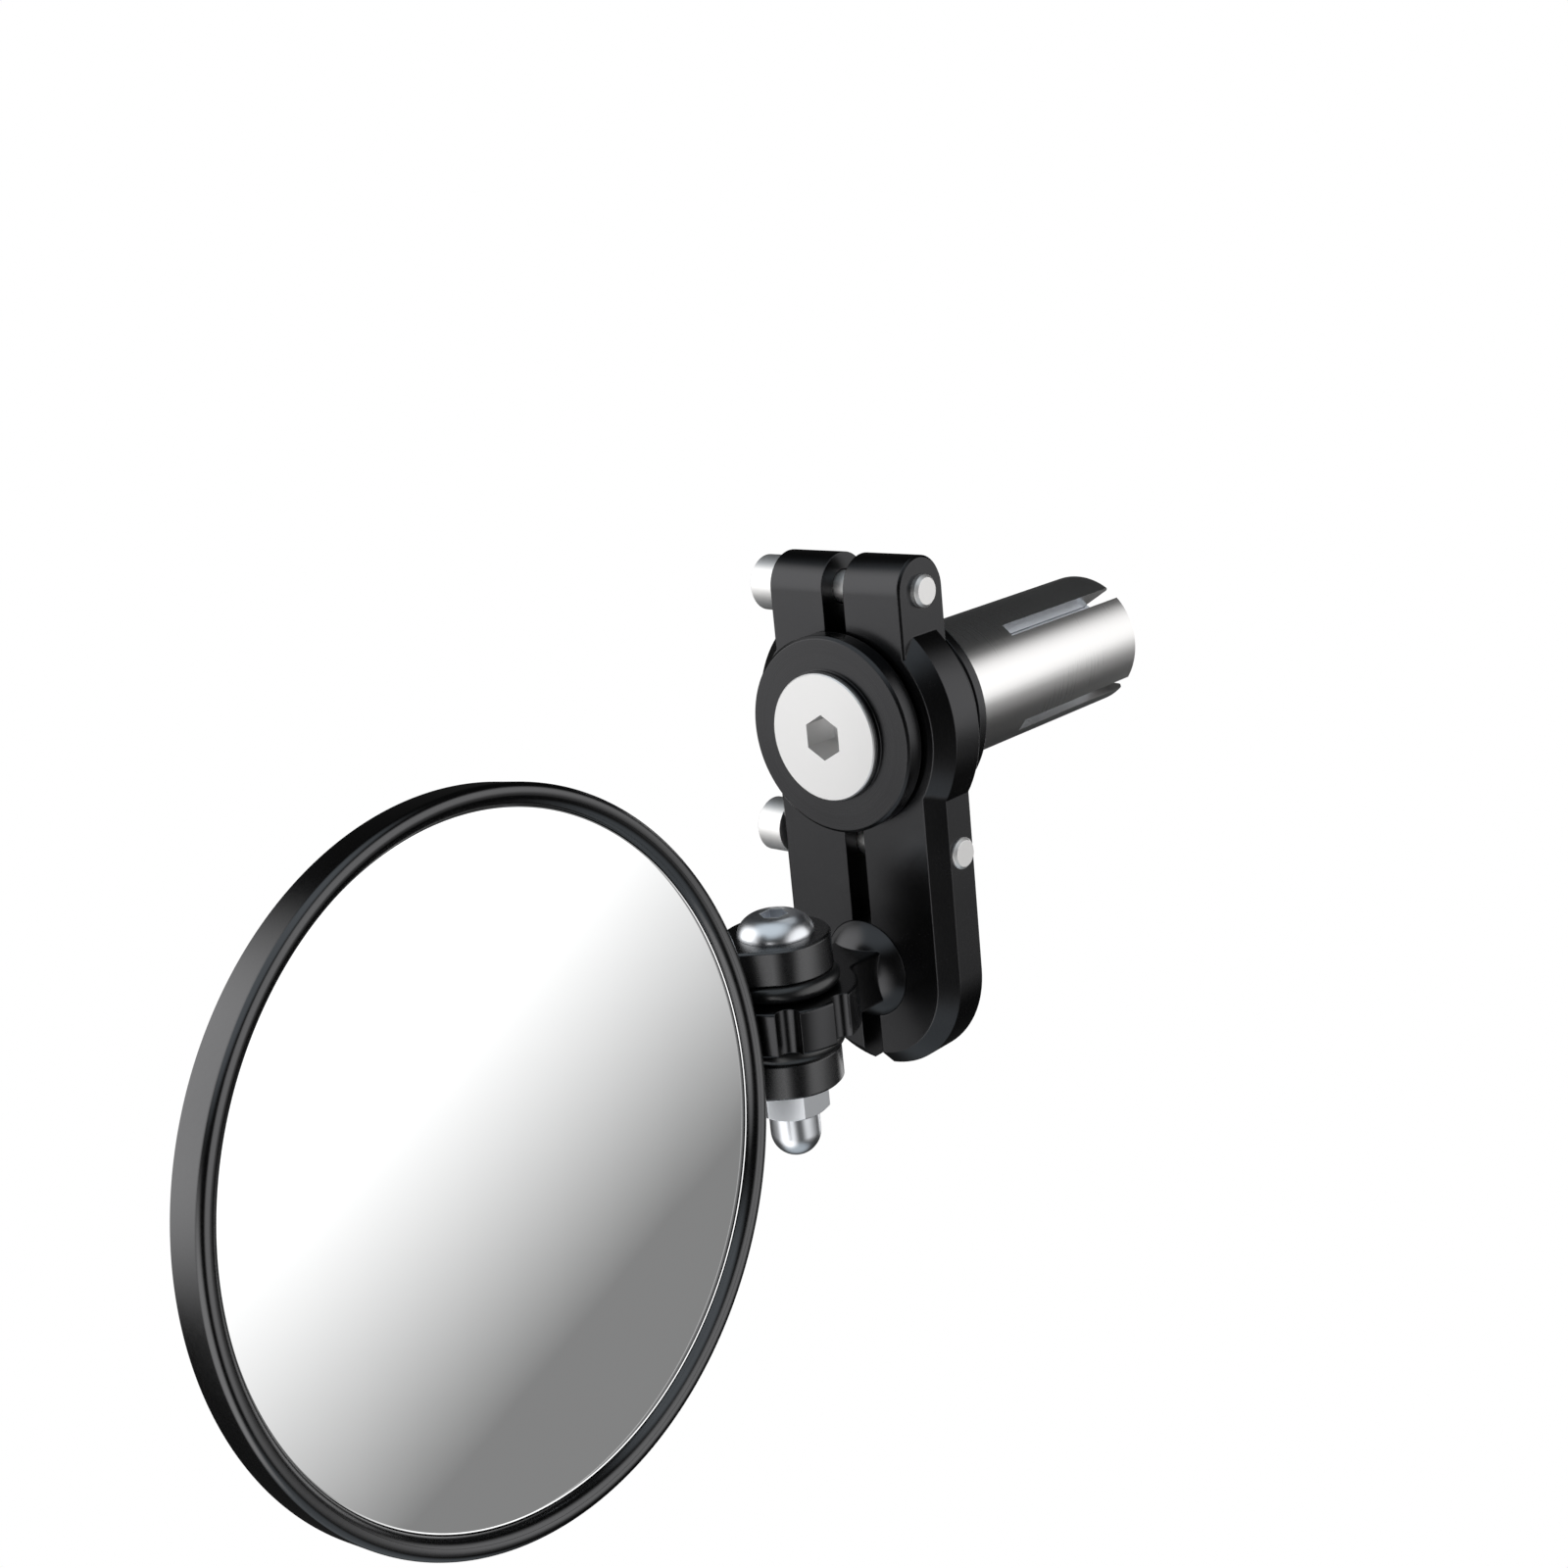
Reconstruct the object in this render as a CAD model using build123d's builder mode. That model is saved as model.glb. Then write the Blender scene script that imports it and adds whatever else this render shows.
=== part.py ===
"""Bar-end mirror for a bicycle handlebar, built as the pieces that it comes apart into.

The frame has +Z up and +X outboard along the handlebar's axis. The origin is on that axis, in the face of
the inner collar that seats against the end of the bar, so the plug reaches into the bar along -X. All sizes
are in millimetres.
"""

import math
import os

from build123d import *

# ---- plug that goes into the bar ----
SLEEVE_R = 9.0
SLEEVE_LENGTH = 40.0
SLEEVE_BORE_R = 6.4
SLEEVE_MOUTH_R = 8.4
SLEEVE_MOUTH = 3.8
SLEEVE_END_WALL = 3.5
SLOT_WIDTH = 2.0
SLOT_START = 14.8
SLOT_COUNT = 4
SLOT_ANGLE = 51

COLLAR_R = 12.8
COLLAR_THICKNESS = 3.6
COLLAR_RELIEF = 0.7
SEAT_DEPTH = 1.0

BOLT_R = 4.0
BOLT_HOLE_R = 4.3
BOLT_HEAD_R = 8.0
BOLT_HEAD_RIM = 0.5
BOLT_SOCKET = 5.0
BOLT_SOCKET_DEPTH = 5.0
BOLT_END_INSET = 8.0

NUT_R = 6.3
NUT_WEDGE_R = 6.6
NUT_WEDGE = 0.55
NUT_NOSE_R = 5.5
NUT_NOSE = 0.7
NUT_LENGTH = 25.5
NUT_BORE_R = 4.05

FLANGE_R = 12.4
FLANGE_THICKNESS = 2.7
BOSS_R = 8.15
BOSS_HEIGHT = 0.65
JOURNAL_R = 9.5

# ---- split clamp ----
TURN_GAP = 0.3
RUNNING_FIT = 0.05
CLAMP_THICKNESS = 8.5
CLAMP_BOSS_R = 15.7
ARM_HALF_WIDTH = 13.4
PIVOT_DROP = 31.4
PIVOT_BORE_R = 6.4
EAR_HALF_WIDTH = 10.3
EAR_ARCH_Z = 17.0
EDGE_CHAMFER = 2.0
EAR_CHAMFER = 0.3
UPPER_SLOT = 3.4
LOWER_SLOT = 3.1
LOWER_SCREW_Z = -15.4

M4_R = 2.0
M4_HEAD_R = 3.5
M4_HEAD_HEIGHT = 4.0
M4_SOCKET = 3.0
M4_SOCKET_DEPTH = 2.2
M4_CLEARANCE = 0.15
UPPER_TIP_OUT = 0.95
LOWER_TIP_OUT = 0.6

# ---- knuckle ----
DOME_R = 7.7
SHANK_LENGTH = 5.6
BLOCK_HALF_WIDTH = 3.8
BLOCK_HALF_HEIGHT = 3.4
BLOCK_LENGTH = 7.5
BLOCK_ROUND = 0.6
NECK_FILLET = 1.2
KNUCKLE_ROUND = 0.35
BARREL_R = 9.4
BARREL_HEIGHT = 5.5
FLUTE_R = 1.5
FLUTE_CENTRE = 9.6
FLUTE_COUNT = 5
FLUTE_PITCH = 46
BUSH_R = 3.6
PIVOT_SCREW_R = 3.0
PIVOT_HEAD_R = 4.7
PIVOT_SOCKET = 4.0
PIVOT_SOCKET_DEPTH = 2.6
PIVOT_SCREW_LENGTH = 11.0
PIVOT_HOLE_SPARE = 0.8

# ---- hinge of the mirror ----
HINGE_OUT = 15.9
HINGE_RAISE = 0.65
RING_R = 7.3
RING_HEIGHT = 2.2
EAR_R = 6.65
EAR_HEIGHT = 4.5
EAR_FLAT_ANGLE = 33.1
EAR_SHOULDER = 9.0
EAR_ROOT = 15.0
EAR_BACK = -4.9
EAR_EDGE = 0.25
M5_R = 2.5
BUTTON_R = 4.7
BUTTON_HEIGHT = 2.45
BUTTON_SOCKET = 3.0
BUTTON_SOCKET_DEPTH = 1.8
ACORN_FLATS = 8.0
ACORN_HEX_HEIGHT = 3.95
ACORN_DOME_R = 3.15
ACORN_HEIGHT = 10.0
ACORN_WALL = 2.6

# ---- mirror head ----
HEAD_REACH = 48.9
AXIS_BEHIND_GLASS = 3.3
HEAD_RISE = 1.55
HEAD_YAW = 94.2
HEAD_TILT = 5.5
HOUSING_R = 39.0
HOUSING_BACK = -3.5
BACK_WALL = 1.6
HOUSING_WALL = 1.4
LIP_HEIGHT = 1.5
BEAD_OUTER_ROUND = 0.9
BEAD_INNER_ROUND = 1.5
GLASS_R = 36.5
GLASS_CROWN = 0.5
GLASS_BEVEL = 0.35
PAD_THICKNESS = 0.4
PAD_MARGIN = 1.5
PLATE_THICKNESS = 4.0
PLATE_START = 10.0
PLATE_LENGTH = 24.0
PLATE_HALF_HEIGHT = 9.6
PLATE_CORNER_R = 3.0
BRACKET_SCREW_SPACING = 12.0
M3_R = 1.5
M3_HEAD_R = 3.0
M3_HEAD_HEIGHT = 1.5
M3_SOCKET = 2.0
M3_SOCKET_DEPTH = 1.2

# ---- derived places ----
CLAMP_BACK = COLLAR_THICKNESS + TURN_GAP
CLAMP_FRONT = CLAMP_BACK + CLAMP_THICKNESS
CLAMP_MIDDLE = CLAMP_BACK + CLAMP_THICKNESS / 2
FLANGE_BACK = CLAMP_FRONT + TURN_GAP
FLANGE_FRONT = FLANGE_BACK + FLANGE_THICKNESS
BOSS_FRONT = FLANGE_FRONT + BOSS_HEIGHT
BOLT_FACE = BOSS_FRONT + BOLT_HEAD_RIM
HINGE = Vector(CLAMP_FRONT + HINGE_OUT, 0, HINGE_RAISE - PIVOT_DROP)
RING_BASE = BARREL_HEIGHT / 2 + RUNNING_FIT
EAR_BASE = RING_BASE + RING_HEIGHT
EAR_TOP = EAR_BASE + EAR_HEIGHT
SHANK_R = PIVOT_BORE_R - RUNNING_FIT
SHANK_BACK = CLAMP_FRONT - SHANK_LENGTH
CUP_FLOOR = HOUSING_BACK + BACK_WALL
WALL_INNER = HOUSING_R - HOUSING_WALL
BEAD_CREST_R = HOUSING_R - BEAD_OUTER_ROUND
GLASS_BACK = CUP_FLOOR + PAD_THICKNESS
PLATE_MIDDLE = HEAD_REACH - PLATE_START - PLATE_LENGTH / 2

yaw = math.radians(HEAD_YAW)
tilt = math.radians(HEAD_TILT)
face_normal = Vector(math.cos(tilt) * math.cos(yaw), math.cos(tilt) * math.sin(yaw), math.sin(tilt))
inboard = Vector(-math.sin(yaw), math.cos(yaw), 0)
up_the_glass = face_normal.cross(inboard)
glass_centre = (
    HINGE - inboard * HEAD_REACH + face_normal * AXIS_BEHIND_GLASS + up_the_glass * HEAD_RISE
)

# The head's own planes: one in the glass, one through its axis for turned profiles.
head_plane = Plane(origin=glass_centre, x_dir=inboard, z_dir=face_normal)
head_profile = Plane(origin=glass_centre, x_dir=inboard, z_dir=inboard.cross(face_normal))
head_axis = Axis(glass_centre, face_normal)

# The bar's own plane for turned profiles: local x is along the bar, local y is the radius.
bar_profile = Plane.XY
hinge_profile = Plane(origin=HINGE, x_dir=(1, 0, 0), z_dir=(0, -1, 0))
hinge_axis = Axis(HINGE, (0, 0, 1))
pivot_profile = Plane(origin=(0, 0, -PIVOT_DROP), x_dir=(1, 0, 0), z_dir=(0, 0, 1))
pivot_axis = Axis((0, 0, -PIVOT_DROP), (1, 0, 0))


# The bracket screws' places on the outer face of the bracket's plate.
plate_plane = head_plane.offset(HOUSING_BACK)
screw_plane = plate_plane.offset(-PLATE_THICKNESS)
screw_offsets = [
    (PLATE_MIDDLE - BRACKET_SCREW_SPACING / 2, -HEAD_RISE),
    (PLATE_MIDDLE + BRACKET_SCREW_SPACING / 2, -HEAD_RISE),
]
screw_spots = [screw_plane.from_local_coords((*offset, 0)) for offset in screw_offsets]


def turned(profile_plane, axis, points):
    """A solid turned from straight-sided profile points given as (along, out) on profile_plane."""
    with BuildPart() as body:
        with BuildSketch(profile_plane):
            with BuildLine():
                Polyline(*points, close=True)
            make_face()
        revolve(axis=axis)
    return body.part


# ======== plug ========

with BuildPart() as expander_sleeve:
    with BuildSketch(bar_profile):
        with BuildLine():
            Polyline(
                (0, BOLT_HOLE_R),
                (0, SLEEVE_R),
                (-SLEEVE_LENGTH + 0.4, SLEEVE_R),
                (-SLEEVE_LENGTH, SLEEVE_R - 0.4),
                (-SLEEVE_LENGTH, SLEEVE_MOUTH_R),
                (-SLEEVE_LENGTH + SLEEVE_MOUTH, SLEEVE_BORE_R),
                (-SLEEVE_END_WALL, SLEEVE_BORE_R),
                (-SLEEVE_END_WALL, BOLT_HOLE_R),
                close=True,
            )
        make_face()
    revolve(axis=Axis.X)
    # Four slots let the tip spread when the wedge nut is drawn in.
    with BuildSketch(Plane.YZ.offset(-SLOT_START)):
        with PolarLocations(SLEEVE_R - 1, SLOT_COUNT, start_angle=SLOT_ANGLE):
            Rectangle(4.0, SLOT_WIDTH)
    extrude(amount=-SLEEVE_LENGTH, mode=Mode.SUBTRACT)

expander_sleeve.part.label = "expander_sleeve"

with BuildPart() as wedge_nut:
    # A plain body under the slots, with a short wedge and a rounded nose in the sleeve's conical mouth.
    mouth_start = -SLEEVE_LENGTH + SLEEVE_MOUTH
    wedge_end = mouth_start - NUT_WEDGE
    nose_end = wedge_end - NUT_NOSE
    body_start = nose_end + NUT_LENGTH
    with BuildSketch(bar_profile):
        with BuildLine():
            Polyline(
                (body_start, NUT_BORE_R),
                (body_start, NUT_R - 0.5),
                (body_start - 0.5, NUT_R),
                (mouth_start, NUT_R),
                (wedge_end, NUT_WEDGE_R),
            )
            ThreePointArc(
                (wedge_end, NUT_WEDGE_R),
                (wedge_end - NUT_NOSE * 0.65, NUT_WEDGE_R - 0.35),
                (nose_end, NUT_NOSE_R),
            )
            Polyline(
                (nose_end, NUT_NOSE_R),
                (nose_end, NUT_BORE_R + 0.7),
                (nose_end + 0.7, NUT_BORE_R),
                (body_start, NUT_BORE_R),
            )
        make_face()
    revolve(axis=Axis.X)

wedge_nut.part.label = "wedge_nut"

with BuildPart() as plug_bolt:
    head_root = BOSS_FRONT - (BOLT_HEAD_R - BOLT_R)
    shank_end = -SLEEVE_LENGTH + BOLT_END_INSET
    with BuildSketch(bar_profile):
        with BuildLine():
            Polyline(
                (BOLT_FACE, 0),
                (BOLT_FACE, BOLT_HEAD_R - 0.15),
                (BOLT_FACE - 0.15, BOLT_HEAD_R),
                (BOSS_FRONT, BOLT_HEAD_R),
                (head_root, BOLT_R),
                (shank_end + 0.8, BOLT_R),
                (shank_end, BOLT_R - 0.8),
                (shank_end, 0),
                close=True,
            )
        make_face()
    revolve(axis=Axis.X)
    with BuildSketch(Plane.YZ.offset(BOLT_FACE)):
        RegularPolygon(BOLT_SOCKET / 2, 6, major_radius=False, rotation=30)
    extrude(amount=-BOLT_SOCKET_DEPTH, mode=Mode.SUBTRACT)

plug_bolt.part.label = "plug_bolt"

with BuildPart() as inner_collar:
    with BuildSketch(bar_profile):
        with BuildLine():
            Polyline(
                (0, SLEEVE_R + COLLAR_RELIEF),
                (0, COLLAR_R - 0.4),
                (0.4, COLLAR_R),
                (1.7, COLLAR_R),
                (1.95, COLLAR_R - 0.4),
                (2.2, COLLAR_R),
                (COLLAR_THICKNESS - 0.3, COLLAR_R),
                (COLLAR_THICKNESS, COLLAR_R - 0.3),
                (COLLAR_THICKNESS, BOLT_HOLE_R),
                (SEAT_DEPTH, BOLT_HOLE_R),
                (SEAT_DEPTH, SLEEVE_R + COLLAR_RELIEF),
                close=True,
            )
        make_face()
    revolve(axis=Axis.X)

inner_collar.part.label = "inner_collar"

# A short distance ring fills the collar's recess, so that the sleeve's end bears on it.
with BuildPart() as seat_washer:
    with BuildSketch(Plane.YZ):
        Circle(SLEEVE_R - 0.6)
        Circle(BOLT_HOLE_R, mode=Mode.SUBTRACT)
    extrude(amount=SEAT_DEPTH)

seat_washer.part.label = "seat_washer"

with BuildPart() as outer_flange:
    sink_root = BOSS_FRONT - (BOLT_HEAD_R + RUNNING_FIT - BOLT_HOLE_R)
    with BuildSketch(bar_profile):
        with BuildLine():
            Polyline(
                (COLLAR_THICKNESS, BOLT_HOLE_R),
                (COLLAR_THICKNESS, JOURNAL_R),
                (FLANGE_BACK, JOURNAL_R),
                (FLANGE_BACK, FLANGE_R - 0.3),
                (FLANGE_BACK + 0.3, FLANGE_R),
                (FLANGE_FRONT - 0.35, FLANGE_R),
                (FLANGE_FRONT, FLANGE_R - 0.35),
                (FLANGE_FRONT, BOSS_R),
                (BOSS_FRONT, BOSS_R),
                (BOSS_FRONT, BOLT_HEAD_R + RUNNING_FIT),
                (sink_root, BOLT_HOLE_R),
                close=True,
            )
        make_face()
    revolve(axis=Axis.X)

outer_flange.part.label = "outer_flange"


# ======== clamp ========

# The whole clamp before it is split: boss, arm and ears, with its bores and slots cut.
clamp_boss = turned(
    bar_profile,
    Axis.X,
    [
        (CLAMP_BACK, 0),
        (CLAMP_BACK, CLAMP_BOSS_R - EDGE_CHAMFER),
        (CLAMP_BACK + EDGE_CHAMFER, CLAMP_BOSS_R),
        (CLAMP_FRONT - EDGE_CHAMFER, CLAMP_BOSS_R),
        (CLAMP_FRONT, CLAMP_BOSS_R - EDGE_CHAMFER),
        (CLAMP_FRONT, 0),
    ],
)

with BuildPart() as clamp_whole:
    with BuildSketch(Plane.YZ.offset(CLAMP_BACK)):
        with Locations((0, -PIVOT_DROP / 2)):
            Rectangle(2 * ARM_HALF_WIDTH, PIVOT_DROP)
        with Locations((0, -PIVOT_DROP)):
            Circle(ARM_HALF_WIDTH)
    extrude(amount=CLAMP_THICKNESS)
    rims = clamp_whole.faces().filter_by(Axis.X).edges()
    chamfer(rims.filter_by(lambda e: e.center().Z < -1), EDGE_CHAMFER)
    # Upper ears: an arch in side view that runs straight across.
    with BuildSketch(Plane.XZ.offset(-EAR_HALF_WIDTH)):
        with Locations((CLAMP_MIDDLE, EAR_ARCH_Z / 2)):
            Rectangle(CLAMP_THICKNESS, EAR_ARCH_Z)
        with Locations((CLAMP_MIDDLE, EAR_ARCH_Z)):
            Circle(CLAMP_THICKNESS / 2)
    extrude(amount=2 * EAR_HALF_WIDTH)
    circles = clamp_whole.edges().filter_by(GeomType.CIRCLE)
    chamfer(circles.filter_by(lambda e: e.center().Z > EAR_ARCH_Z), EAR_CHAMFER)
    add(clamp_boss)
    with BuildSketch(Plane.YZ.offset(CLAMP_BACK)):
        Circle(JOURNAL_R + RUNNING_FIT)
        with Locations((0, -PIVOT_DROP)):
            Circle(PIVOT_BORE_R)
        with Locations((0, EAR_ARCH_Z)):
            Rectangle(UPPER_SLOT, 2 * EAR_ARCH_Z)
        with Locations((0, -PIVOT_DROP)):
            Rectangle(LOWER_SLOT, 2 * PIVOT_DROP)
    extrude(amount=CLAMP_THICKNESS, mode=Mode.SUBTRACT)

SCREW_HEIGHTS = ((EAR_ARCH_Z, EAR_HALF_WIDTH), (LOWER_SCREW_Z, ARM_HALF_WIDTH))

with BuildPart() as clamp_left:
    add(clamp_whole.part)
    split(bisect_by=Plane.XZ, keep=Keep.TOP)
    for height, half_width in SCREW_HEIGHTS:
        with BuildSketch(Plane.XZ):
            with Locations((CLAMP_MIDDLE, height)):
                Circle(M4_R + M4_CLEARANCE)
        extrude(amount=half_width + 1, mode=Mode.SUBTRACT)

clamp_left.part.label = "clamp_left"

with BuildPart() as clamp_right:
    add(clamp_whole.part)
    split(bisect_by=Plane.XZ, keep=Keep.BOTTOM)
    for height, half_width in SCREW_HEIGHTS:
        with BuildSketch(Plane.XZ):
            with Locations((CLAMP_MIDDLE, height)):
                Circle(M4_R)
        extrude(amount=-half_width - 1, mode=Mode.SUBTRACT)

clamp_right.part.label = "clamp_right"


def cap_screw(height, half_width, tip_out):
    """An M4 socket cap screw across the clamp, its head on the -Y side."""
    head_top = -half_width - M4_HEAD_HEIGHT
    tip = half_width + tip_out
    with BuildPart() as screw:
        with BuildSketch(Plane(origin=(CLAMP_MIDDLE, 0, height), x_dir=(0, 1, 0), z_dir=(0, 0, 1))):
            with BuildLine():
                Polyline(
                    (head_top, 0),
                    (head_top, M4_HEAD_R - 0.3),
                    (head_top + 0.3, M4_HEAD_R),
                    (-half_width, M4_HEAD_R),
                    (-half_width, M4_R),
                    (tip - 0.35, M4_R),
                    (tip, M4_R - 0.35),
                    (tip, 0),
                    close=True,
                )
            make_face()
        revolve(axis=Axis((CLAMP_MIDDLE, 0, height), (0, 1, 0)))
        with BuildSketch(Plane(origin=(CLAMP_MIDDLE, head_top, height), z_dir=(0, -1, 0))):
            RegularPolygon(M4_SOCKET / 2, 6, major_radius=False)
        extrude(amount=-M4_SOCKET_DEPTH, mode=Mode.SUBTRACT)
    return screw


upper_clamp_screw = cap_screw(EAR_ARCH_Z, EAR_HALF_WIDTH, UPPER_TIP_OUT)
upper_clamp_screw.part.label = "upper_clamp_screw"

lower_clamp_screw = cap_screw(LOWER_SCREW_Z, ARM_HALF_WIDTH, LOWER_TIP_OUT)
lower_clamp_screw.part.label = "lower_clamp_screw"


# ======== knuckle ========

with BuildPart() as knuckle:
    # In plan, a round barrel on a straight neck, with rounded corners where they meet.
    with BuildSketch(Plane.XY.offset(HINGE.Z + BARREL_HEIGHT / 2)) as plan:
        with Locations((HINGE.X, 0)):
            Circle(BARREL_R)
        with Locations(((CLAMP_FRONT + HINGE.X) / 2, 0)):
            Rectangle(HINGE_OUT, 2 * BLOCK_HALF_WIDTH)
        fillet(plan.vertices().filter_by_position(Axis.X, CLAMP_FRONT + 1, HINGE.X), NECK_FILLET)
    extrude(amount=-BARREL_HEIGHT)
    outline = knuckle.faces().filter_by(Axis.Z).edges()
    fillet(outline.filter_by(lambda e: e.center().X > CLAMP_FRONT + 1), KNUCKLE_ROUND)
    # The neck is deeper than the barrel, down to the hinge's lower ring.
    block_bottom = -PIVOT_DROP - BLOCK_HALF_HEIGHT
    block_depth = HINGE.Z - block_bottom
    with BuildSketch(Plane.YZ.offset(CLAMP_FRONT)):
        with Locations((0, block_bottom + block_depth / 2)):
            RectangleRounded(2 * BLOCK_HALF_WIDTH, block_depth, BLOCK_ROUND)
    extrude(amount=BLOCK_LENGTH)
    # Round shank in the clamp's lower bore, closed by a dome at the front.
    dome_centre = CLAMP_FRONT - math.sqrt(DOME_R**2 - SHANK_R**2)
    dome_tip = dome_centre + DOME_R
    with BuildSketch(pivot_profile):
        with BuildLine():
            Polyline((dome_tip, 0), (SHANK_BACK, 0), (SHANK_BACK, SHANK_R), (CLAMP_FRONT, SHANK_R))
            RadiusArc((CLAMP_FRONT, SHANK_R), (dome_tip, 0), DOME_R)
        make_face()
    revolve(axis=pivot_axis)
    # Flutes around the barrel's free side, and the bore for the hinge bush.
    with BuildSketch(Plane.XY.offset(HINGE.Z - BARREL_HEIGHT)):
        with Locations((HINGE.X, 0)):
            Circle(BUSH_R)
            with PolarLocations(
                FLUTE_CENTRE,
                FLUTE_COUNT,
                start_angle=-FLUTE_PITCH * (FLUTE_COUNT - 1) / 2,
                angular_range=FLUTE_PITCH * (FLUTE_COUNT - 1),
                endpoint=True,
            ):
                Circle(FLUTE_R)
    extrude(amount=2 * BARREL_HEIGHT, mode=Mode.SUBTRACT)
    # Threaded hole for the pivot screw.
    with BuildSketch(Plane.YZ.offset(SHANK_BACK)):
        with Locations((0, -PIVOT_DROP)):
            Circle(PIVOT_SCREW_R)
    pivot_hole_end = CLAMP_BACK + PIVOT_SCREW_LENGTH + PIVOT_HOLE_SPARE
    extrude(amount=pivot_hole_end - SHANK_BACK, mode=Mode.SUBTRACT)

knuckle.part.label = "knuckle"

with BuildPart() as pivot_bushing:
    with BuildSketch(pivot_profile):
        with BuildLine():
            Polyline(
                (CLAMP_BACK, PIVOT_HEAD_R + RUNNING_FIT),
                (CLAMP_BACK, SHANK_R - 0.2),
                (CLAMP_BACK + 0.2, SHANK_R),
                (SHANK_BACK, SHANK_R),
                (SHANK_BACK, PIVOT_SCREW_R + 0.1),
                (CLAMP_BACK + PIVOT_HEAD_R - PIVOT_SCREW_R, PIVOT_SCREW_R + 0.1),
                close=True,
            )
        make_face()
    revolve(axis=pivot_axis)

pivot_bushing.part.label = "pivot_bushing"

with BuildPart() as pivot_screw:
    with BuildSketch(pivot_profile):
        with BuildLine():
            Polyline(
                (CLAMP_BACK, 0),
                (CLAMP_BACK, PIVOT_HEAD_R),
                (CLAMP_BACK + PIVOT_HEAD_R - PIVOT_SCREW_R, PIVOT_SCREW_R),
                (CLAMP_BACK + PIVOT_SCREW_LENGTH, PIVOT_SCREW_R),
                (CLAMP_BACK + PIVOT_SCREW_LENGTH, 0),
                close=True,
            )
        make_face()
    revolve(axis=pivot_axis)
    with BuildSketch(Plane.YZ.offset(CLAMP_BACK)):
        with Locations((0, -PIVOT_DROP)):
            RegularPolygon(PIVOT_SOCKET / 2, 6, major_radius=False, rotation=30)
    extrude(amount=PIVOT_SOCKET_DEPTH, mode=Mode.SUBTRACT)

pivot_screw.part.label = "pivot_screw"

with BuildPart() as hinge_bush:
    with BuildSketch(Plane.XY.offset(HINGE.Z)):
        with Locations((HINGE.X, 0)):
            Circle(BUSH_R)
            Circle(M5_R + RUNNING_FIT, mode=Mode.SUBTRACT)
    extrude(amount=BARREL_HEIGHT / 2, both=True)

hinge_bush.part.label = "hinge_bush"


# ======== hinge pieces that swing with the mirror ========

def friction_ring(base):
    """A rounded washer between an ear and the barrel, its lower face at height base over the hinge."""
    inner_r = M5_R + 0.2
    with BuildPart() as ring:
        with BuildSketch(hinge_profile):
            with Locations(((inner_r + RING_R) / 2, base + RING_HEIGHT / 2)):
                RectangleRounded(RING_R - inner_r, RING_HEIGHT, RING_HEIGHT / 2 - 0.02)
        revolve(axis=hinge_axis)
    return ring


upper_friction_ring = friction_ring(RING_BASE)
upper_friction_ring.part.label = "upper_friction_ring"

lower_friction_ring = friction_ring(-RING_BASE - RING_HEIGHT)
lower_friction_ring.part.label = "lower_friction_ring"

with BuildPart() as hinge_screw:
    # Button head on the upper ear; the shank ends inside the acorn nut.
    button_top = EAR_TOP + BUTTON_HEIGHT
    shank_bottom = -EAR_TOP - ACORN_HEIGHT + ACORN_WALL + 0.8
    with BuildSketch(hinge_profile):
        with BuildLine():
            Polyline(
                (0, button_top),
                (0, shank_bottom),
                (M5_R - 0.4, shank_bottom),
                (M5_R, shank_bottom + 0.4),
                (M5_R, EAR_TOP),
                (BUTTON_R, EAR_TOP),
                (BUTTON_R, EAR_TOP + 0.35),
            )
            ThreePointArc(
                (BUTTON_R, EAR_TOP + 0.35),
                (BUTTON_R * 0.84, EAR_TOP + BUTTON_HEIGHT * 0.68),
                (BUTTON_R * 0.52, button_top),
            )
            Line((BUTTON_R * 0.52, button_top), (0, button_top))
        make_face()
    revolve(axis=hinge_axis)
    with BuildSketch(Plane(origin=HINGE + Vector(0, 0, button_top))):
        RegularPolygon(BUTTON_SOCKET / 2, 6, major_radius=False)
    extrude(amount=-BUTTON_SOCKET_DEPTH, mode=Mode.SUBTRACT)

hinge_screw.part.label = "hinge_screw"

# The acorn nut's hexagon has its lower corners turned off at a shallow angle.
nut_top = -EAR_TOP
hex_bottom = nut_top - ACORN_HEX_HEIGHT
dome_middle = nut_top - ACORN_HEIGHT + ACORN_DOME_R
corner_r = ACORN_FLATS / math.sqrt(3)
turned_corners = turned(
    hinge_profile,
    hinge_axis,
    [
        (0, nut_top),
        (corner_r + 0.1, nut_top),
        (corner_r + 0.1, hex_bottom + 0.45),
        (corner_r - 0.6, hex_bottom),
        (0, hex_bottom),
    ],
)

with BuildPart() as acorn_nut:
    with BuildSketch(Plane(origin=HINGE + Vector(0, 0, nut_top))):
        RegularPolygon(corner_r, 6)
    extrude(amount=-ACORN_HEX_HEIGHT)
    add(turned_corners, mode=Mode.INTERSECT)
    with BuildSketch(Plane(origin=HINGE + Vector(0, 0, dome_middle))):
        Circle(ACORN_DOME_R)
    extrude(amount=hex_bottom - dome_middle + 0.2)
    with Locations(HINGE + Vector(0, 0, dome_middle)):
        Sphere(ACORN_DOME_R)
    with BuildSketch(Plane(origin=HINGE + Vector(0, 0, nut_top))):
        Circle(M5_R)
    extrude(amount=-(ACORN_HEIGHT - ACORN_WALL), mode=Mode.SUBTRACT)

acorn_nut.part.label = "acorn_nut"


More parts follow.
